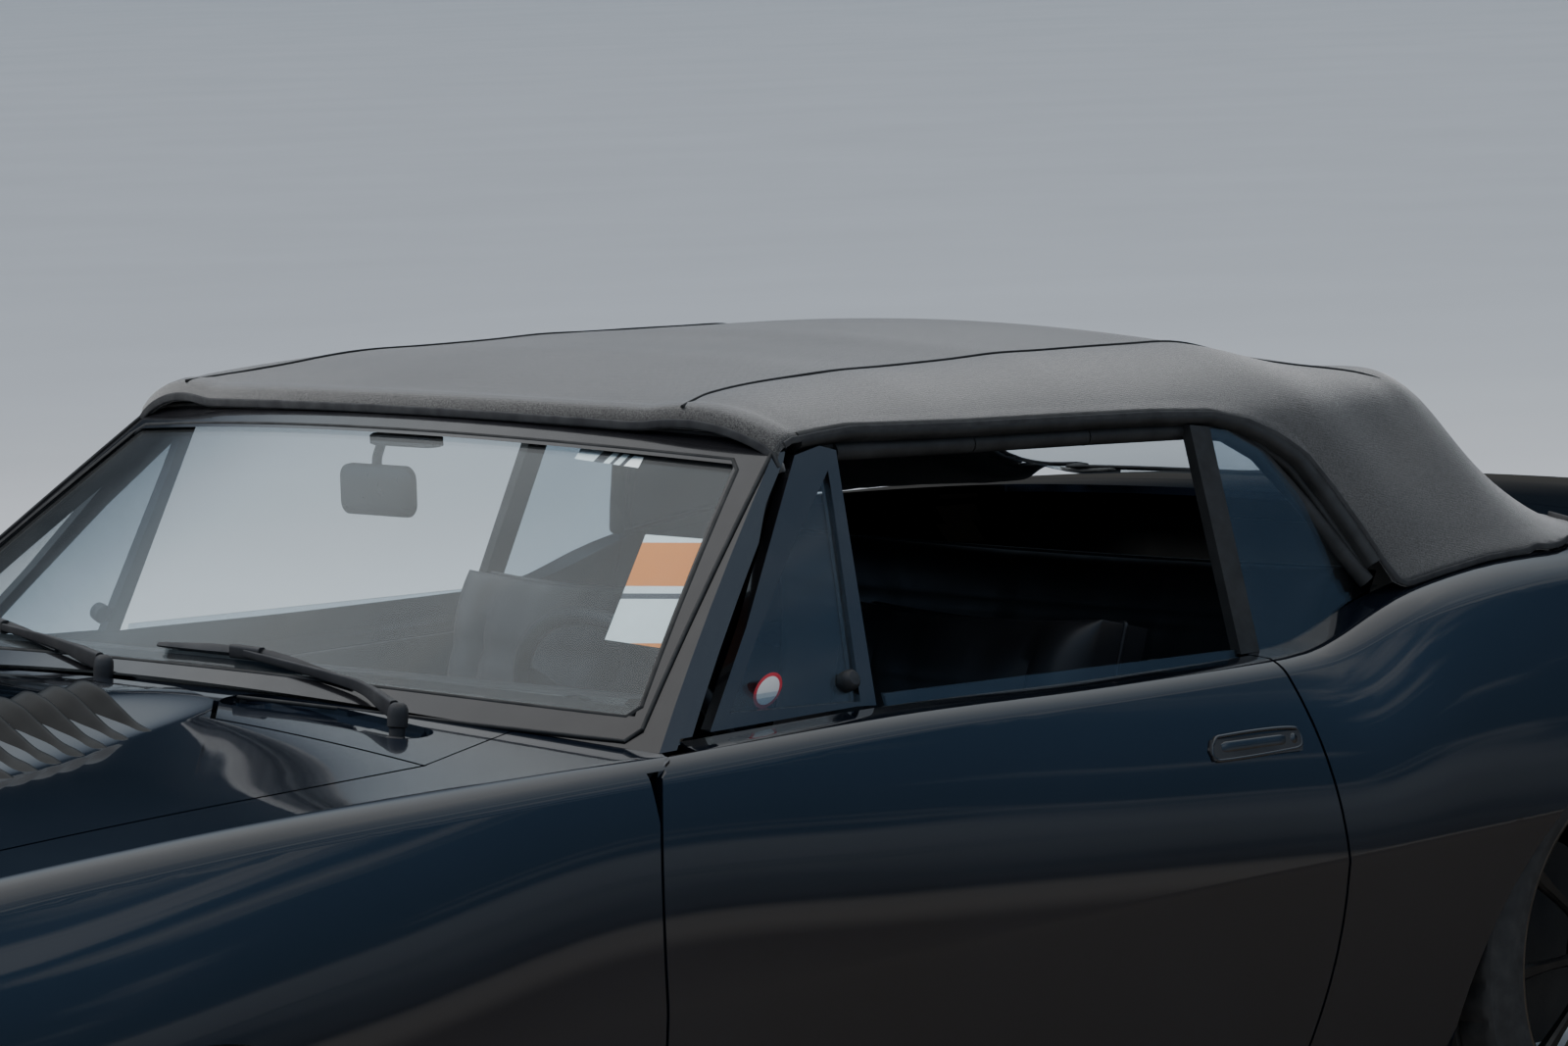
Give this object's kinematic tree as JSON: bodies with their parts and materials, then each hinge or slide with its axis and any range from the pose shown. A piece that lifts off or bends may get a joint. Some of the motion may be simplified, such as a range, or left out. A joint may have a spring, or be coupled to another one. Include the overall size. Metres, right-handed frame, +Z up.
{
  "type": "muscle car",
  "caption": "Two-door muscle car with a raised dark grey cloth top, a long hood with a louvred raised middle, opening doors, hood and trunk lid, and steered front wheels.",
  "frame": {"origin": "on the ground under the middle of the car's length and width", "axes": "+X towards the tail, +Y towards the car's right side, +Z up"},
  "size_m": [4.6898, 1.831, 1.273],
  "materials": {
    "black_paint": "gloss",
    "satin_black": "satin",
    "under_black": "matte",
    "black_plastic": "matte",
    "seat_vinyl": "satin",
    "canvas": "matte",
    "rubber": "matte",
    "tyre": "matte",
    "rim_metal": "satin",
    "glass": "gloss",
    "lamp_glass": "gloss",
    "red_lens": "gloss",
    "iron": "matte",
    "steel": "satin",
    "mirror_black": "gloss"
  },
  "bodies": {
    "shell": {"bumpers": "satin_black", "control_arms": "under_black", "cowl_panel": "black_paint", "dashboard": "black_plastic", "drive_line": "steel", "engine_block": "iron", "exhaust_pipes": "steel", "fenders": "black_paint", "firewall": "under_black", "floor_pan": "under_black", "folding_top": "canvas", "front_seats": "seat_vinyl", "front_subframe": "under_black", "fuel_tank": "under_black", "grille": "black_plastic", "headlamps": "lamp_glass", "inner_fenders": "under_black", "inside_mirror": "mirror_black", "leaf_springs": "under_black", "mufflers": "steel", "nose_panel": "black_paint", "quarter_panels": "black_paint", "quarter_windows": "glass", "radiator_support": "under_black", "rear_axle": "under_black", "rear_deck": "black_paint", "rear_seat": "seat_vinyl", "rear_window": "glass", "tail_lamps": "red_lens", "tail_panel": "black_paint", "top_rails": "rubber", "trunk_floor": "under_black", "tunnel": "under_black", "wheel_housings": "under_black", "windshield": "glass", "windshield_frame": "satin_black", "wipers": "black_plastic"},
    "left_door": {"left_door": "black_paint", "left_door_fittings": "black_plastic", "left_vent_frame": "satin_black", "left_door_glass": "glass"},
    "right_door": {"right_door": "black_paint", "right_door_fittings": "black_plastic", "right_vent_frame": "satin_black", "right_door_glass": "glass"},
    "hood": {"hood": "black_paint", "hood_louvres": "satin_black"},
    "trunk_lid": {"trunk_lid": "black_paint"},
    "left_knuckle": {"left_knuckle": "iron"},
    "right_knuckle": {"right_knuckle": "iron"},
    "steering_wheel": {"steering_wheel": "black_plastic"},
    "front_left_wheel": {"front_left_wheel": "rim_metal", "front_left_tyre": "tyre"},
    "front_right_wheel": {"front_right_wheel": "rim_metal", "front_right_tyre": "tyre"},
    "rear_left_wheel": {"rear_left_wheel": "rim_metal", "rear_left_tyre": "tyre"},
    "rear_right_wheel": {"rear_right_wheel": "rim_metal", "rear_right_tyre": "tyre"}
  },
  "joints": [
    {"name": "left_door_hinge", "type": "hinge", "parent": "shell", "child": "left_door", "pos_m": [-0.505, -0.85, 0.5], "axis": [0, 0, -1], "range_deg": [0, 62]},
    {"name": "right_door_hinge", "type": "hinge", "parent": "shell", "child": "right_door", "pos_m": [-0.505, 0.85, 0.5], "axis": [0, 0, 1], "range_deg": [0, 62]},
    {"name": "hood_hinge", "type": "hinge", "parent": "shell", "child": "hood", "pos_m": [-0.745, 0, 0.93], "axis": [0, 1, 0], "range_deg": [0, 45]},
    {"name": "trunk_hinge", "type": "hinge", "parent": "shell", "child": "trunk_lid", "pos_m": [1.703, 0, 0.95], "axis": [0, -1, 0], "range_deg": [0, 70]},
    {"name": "left_steer", "type": "hinge", "parent": "shell", "child": "left_knuckle", "pos_m": [-1.405, -0.665, 0.327], "axis": [0, 0, 1], "range_deg": [-32, 32]},
    {"name": "right_steer", "type": "hinge", "parent": "shell", "child": "right_knuckle", "pos_m": [-1.405, 0.665, 0.327], "axis": [0, 0, 1], "range_deg": [-32, 32]},
    {"name": "front_left_spin", "type": "hinge", "parent": "left_knuckle", "child": "front_left_wheel", "pos_m": [-1.405, -0.742, 0.327], "axis": [0, 1, 0], "continuous": true},
    {"name": "front_right_spin", "type": "hinge", "parent": "right_knuckle", "child": "front_right_wheel", "pos_m": [-1.405, 0.742, 0.327], "axis": [0, 1, 0], "continuous": true},
    {"name": "rear_left_spin", "type": "hinge", "parent": "shell", "child": "rear_left_wheel", "pos_m": [1.341, -0.742, 0.337], "axis": [0, 1, 0], "continuous": true},
    {"name": "rear_right_spin", "type": "hinge", "parent": "shell", "child": "rear_right_wheel", "pos_m": [1.341, 0.742, 0.337], "axis": [0, 1, 0], "continuous": true},
    {"name": "steering_wheel_turn", "type": "hinge", "parent": "shell", "child": "steering_wheel", "pos_m": [-0.18, -0.37, 0.798], "axis": [0.9063, 0, 0.4226], "range_deg": [-480, 480]}
  ],
  "couplings": [
    {"joint": "right_steer", "follows": "left_steer", "ratio": 1},
    {"joint": "steering_wheel_turn", "follows": "left_steer", "ratio": 14}
  ]
}
